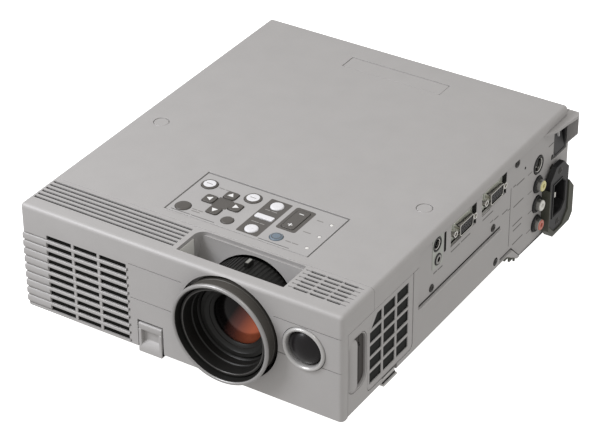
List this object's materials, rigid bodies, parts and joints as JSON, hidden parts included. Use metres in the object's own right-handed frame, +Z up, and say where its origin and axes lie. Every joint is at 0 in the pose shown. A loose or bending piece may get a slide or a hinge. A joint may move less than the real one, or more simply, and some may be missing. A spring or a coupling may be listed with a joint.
{
  "type": "home projector",
  "caption": "Flat box projector with a recessed zoom lens, top key panel, side terminals and mains inlet, vent grilles and drop-down front feet.",
  "frame": {"origin": "bottom centre of the bounding box, on the surface the feet stand on", "axes": "+X towards the terminal side, +Y from the lens to the back, +Z up"},
  "size_m": [0.242, 0.3026, 0.0987],
  "materials": {
    "case_paint": "satin metallic warm grey paint over moulded plastic",
    "key_white": "semi gloss white",
    "key_grey": "satin dark grey",
    "key_blue": "satin blue-grey",
    "black_plastic": "satin black",
    "dark_plastic": "satin dark grey",
    "rubber": "matt",
    "chrome": "plated",
    "jack_steel": "tinned",
    "lens_glass": "coated optical glass",
    "smoked_window": "polished smoked plastic",
    "circuit_board": "solder mask",
    "supply_board": "encased supply block",
    "clear_guide": "frosted clear",
    "yellow_insulator": "moulded",
    "white_insulator": "moulded",
    "red_insulator": "moulded"
  },
  "bodies": {
    "case": {"bottom_case": "case_paint", "top_cover": "case_paint", "front_bezel": "case_paint", "rear_cover": "case_paint", "terminal_plate": "case_paint", "lens_well": "case_paint", "control_panel": "case_paint", "badge_plate": "case_paint", "screw_cap_left": "case_paint", "screw_cap_right": "case_paint", "intake_grille": "case_paint", "strap_bar": "case_paint", "sensor_bezel": "case_paint", "lens_barrel": "black_plastic", "exhaust_fan_frame": "black_plastic", "intake_fan_frame": "black_plastic", "audio_jack": "black_plastic", "ac_inlet": "black_plastic", "power_switch_cup": "black_plastic", "inlet_boss": "dark_plastic", "lamp_module": "dark_plastic", "optical_block": "dark_plastic", "rear_foot_left": "rubber", "rear_foot_right": "rubber", "vga_connector_1": "chrome", "vga_connector_2": "chrome", "mouse_jack": "jack_steel", "s_video_jack": "jack_steel", "sensor_window": "smoked_window", "key_board": "circuit_board", "main_board": "circuit_board", "power_supply": "supply_board", "status_light_guide": "clear_guide", "rca_yellow": "yellow_insulator", "rca_white": "white_insulator", "rca_red": "red_insulator"},
    "menu_button": {"menu_button": "key_white"},
    "keystone_button": {"keystone_button": "key_grey"},
    "enter_button": {"enter_button": "key_white"},
    "quick_button": {"quick_button": "key_grey"},
    "input_button": {"input_button": "key_white"},
    "aspect_button": {"aspect_button": "key_white"},
    "still_button": {"still_button": "key_white"},
    "power_button": {"power_button": "key_blue"},
    "arrow_left": {"arrow_left": "key_grey"},
    "arrow_right": {"arrow_right": "key_grey"},
    "arrow_back": {"arrow_back": "key_grey"},
    "arrow_front": {"arrow_front": "key_grey"},
    "volume_rocker": {"volume_rocker": "key_grey"},
    "power_rocker": {"power_rocker": "black_plastic"},
    "focus_ring": {"focus_ring": "case_paint"},
    "focus_cell": {"focus_lens": "lens_glass"},
    "zoom_ring": {"zoom_ring": "black_plastic"},
    "zoom_cell": {"zoom_lens": "lens_glass"},
    "left_foot": {"left_foot": "dark_plastic"},
    "right_foot": {"right_foot": "dark_plastic"},
    "left_foot_catch": {"left_foot_catch": "case_paint"},
    "right_foot_catch": {"right_foot_catch": "case_paint"},
    "exhaust_impeller": {"exhaust_fan_impeller": "black_plastic"},
    "intake_impeller": {"intake_fan_impeller": "black_plastic"}
  },
  "joints": [
    {"name": "menu_button_press", "type": "slide", "parent": "case", "child": "menu_button", "axis": [0, 0, 1], "range_m": [-0.0008, 0], "stiffness_N_per_m": 300},
    {"name": "keystone_button_press", "type": "slide", "parent": "case", "child": "keystone_button", "axis": [0, 0, 1], "range_m": [-0.0008, 0], "stiffness_N_per_m": 300},
    {"name": "enter_button_press", "type": "slide", "parent": "case", "child": "enter_button", "axis": [0, 0, 1], "range_m": [-0.0008, 0], "stiffness_N_per_m": 300},
    {"name": "quick_button_press", "type": "slide", "parent": "case", "child": "quick_button", "axis": [0, 0, 1], "range_m": [-0.0008, 0], "stiffness_N_per_m": 300},
    {"name": "input_button_press", "type": "slide", "parent": "case", "child": "input_button", "axis": [0, 0, 1], "range_m": [-0.0008, 0], "stiffness_N_per_m": 300},
    {"name": "aspect_button_press", "type": "slide", "parent": "case", "child": "aspect_button", "axis": [0, 0, 1], "range_m": [-0.0008, 0], "stiffness_N_per_m": 300},
    {"name": "still_button_press", "type": "slide", "parent": "case", "child": "still_button", "axis": [0, 0, 1], "range_m": [-0.0008, 0], "stiffness_N_per_m": 300},
    {"name": "power_button_press", "type": "slide", "parent": "case", "child": "power_button", "axis": [0, 0, 1], "range_m": [-0.0008, 0], "stiffness_N_per_m": 300},
    {"name": "arrow_left_press", "type": "slide", "parent": "case", "child": "arrow_left", "axis": [0, 0, 1], "range_m": [-0.0008, 0], "stiffness_N_per_m": 300},
    {"name": "arrow_right_press", "type": "slide", "parent": "case", "child": "arrow_right", "axis": [0, 0, 1], "range_m": [-0.0008, 0], "stiffness_N_per_m": 300},
    {"name": "arrow_back_press", "type": "slide", "parent": "case", "child": "arrow_back", "axis": [0, 0, 1], "range_m": [-0.0008, 0], "stiffness_N_per_m": 300},
    {"name": "arrow_front_press", "type": "slide", "parent": "case", "child": "arrow_front", "axis": [0, 0, 1], "range_m": [-0.0008, 0], "stiffness_N_per_m": 300},
    {"name": "volume_rocker_tilt", "type": "hinge", "parent": "case", "child": "volume_rocker", "pos_m": [0.0355, -0.06795, 0.096], "axis": [1, 0, 0], "range_deg": [-4, 4], "stiffness_Nm_per_rad": 0.03},
    {"name": "power_rocker_tilt", "type": "hinge", "parent": "case", "child": "power_rocker", "pos_m": [0.1099, 0.13915, 0.0746], "axis": [0, 1, 0], "range_deg": [0, 16]},
    {"name": "focus_ring_turn", "type": "hinge", "parent": "case", "child": "focus_ring", "pos_m": [0.0335, -0.14125, 0.061], "axis": [0, 1, 0], "range_deg": [-60, 60]},
    {"name": "focus_cell_slide", "type": "slide", "parent": "case", "child": "focus_cell", "axis": [0, 1, 0], "range_m": [-0.002, 0.002]},
    {"name": "zoom_ring_turn", "type": "hinge", "parent": "case", "child": "zoom_ring", "pos_m": [0.0335, -0.11925, 0.061], "axis": [0, 1, 0], "range_deg": [-25, 25]},
    {"name": "zoom_cell_slide", "type": "slide", "parent": "case", "child": "zoom_cell", "axis": [0, 1, 0], "range_m": [-0.0055, 0.0055]},
    {"name": "left_foot_slide", "type": "slide", "parent": "case", "child": "left_foot", "axis": [0, 0, 1], "range_m": [-0.02, 0]},
    {"name": "left_foot_catch_lift", "type": "slide", "parent": "case", "child": "left_foot_catch", "axis": [0, 0, 1], "range_m": [0, 0.0012], "stiffness_N_per_m": 400},
    {"name": "right_foot_slide", "type": "slide", "parent": "case", "child": "right_foot", "axis": [0, 0, 1], "range_m": [-0.02, 0]},
    {"name": "right_foot_catch_lift", "type": "slide", "parent": "case", "child": "right_foot_catch", "axis": [0, 0, 1], "range_m": [0, 0.0012], "stiffness_N_per_m": 400},
    {"name": "exhaust_fan_spin", "type": "hinge", "parent": "case", "child": "exhaust_impeller", "pos_m": [-0.0705, -0.12525, 0.053], "axis": [0, 1, 0], "continuous": true},
    {"name": "intake_fan_spin", "type": "hinge", "parent": "case", "child": "intake_impeller", "pos_m": [0.104, -0.08725, 0.052], "axis": [1, 0, 0], "continuous": true}
  ],
  "couplings": [
    {"joint": "focus_cell_slide", "follows": "focus_ring_turn", "m_per_rad": 0.0019},
    {"joint": "zoom_cell_slide", "follows": "zoom_ring_turn", "m_per_rad": 0.0125}
  ]
}
